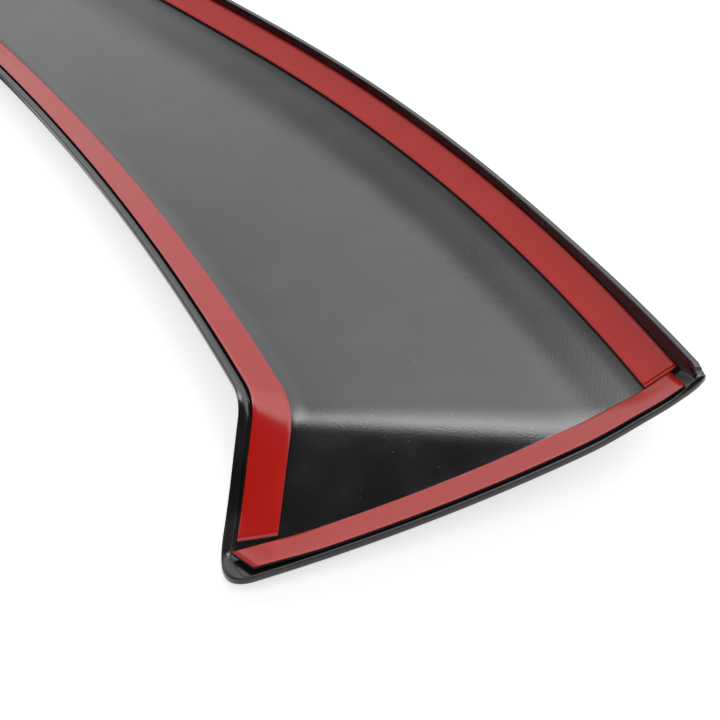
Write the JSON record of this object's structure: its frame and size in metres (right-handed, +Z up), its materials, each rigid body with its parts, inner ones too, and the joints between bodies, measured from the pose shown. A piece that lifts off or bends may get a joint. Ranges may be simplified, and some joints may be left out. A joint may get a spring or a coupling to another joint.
{
  "type": "bonnet deflector",
  "caption": "Bowed black plastic bonnet deflector lying underside up, with a raised rim, folded end facets and red-lined adhesive foam strips along its border.",
  "frame": {"origin": "on the floor under the middle of the part's bounding box", "axes": "+X along the length towards the left end as fitted to a vehicle, +Y towards the leading edge, +Z up with the taped underside facing up"},
  "size_m": [1.4092, 0.2682, 0.0334],
  "materials": {
    "shell": "gloss",
    "foam": "matte",
    "liner": "semi-gloss"
  },
  "bodies": {
    "root": {"deflector_shell": "shell", "rear_foam_tape": "foam", "rear_liner": "liner", "front_foam_tape": "foam", "front_liner": "liner", "left_end_foam_tape": "foam", "left_end_liner": "liner", "right_end_foam_tape": "foam", "right_end_liner": "liner"}
  },
  "joints": []
}
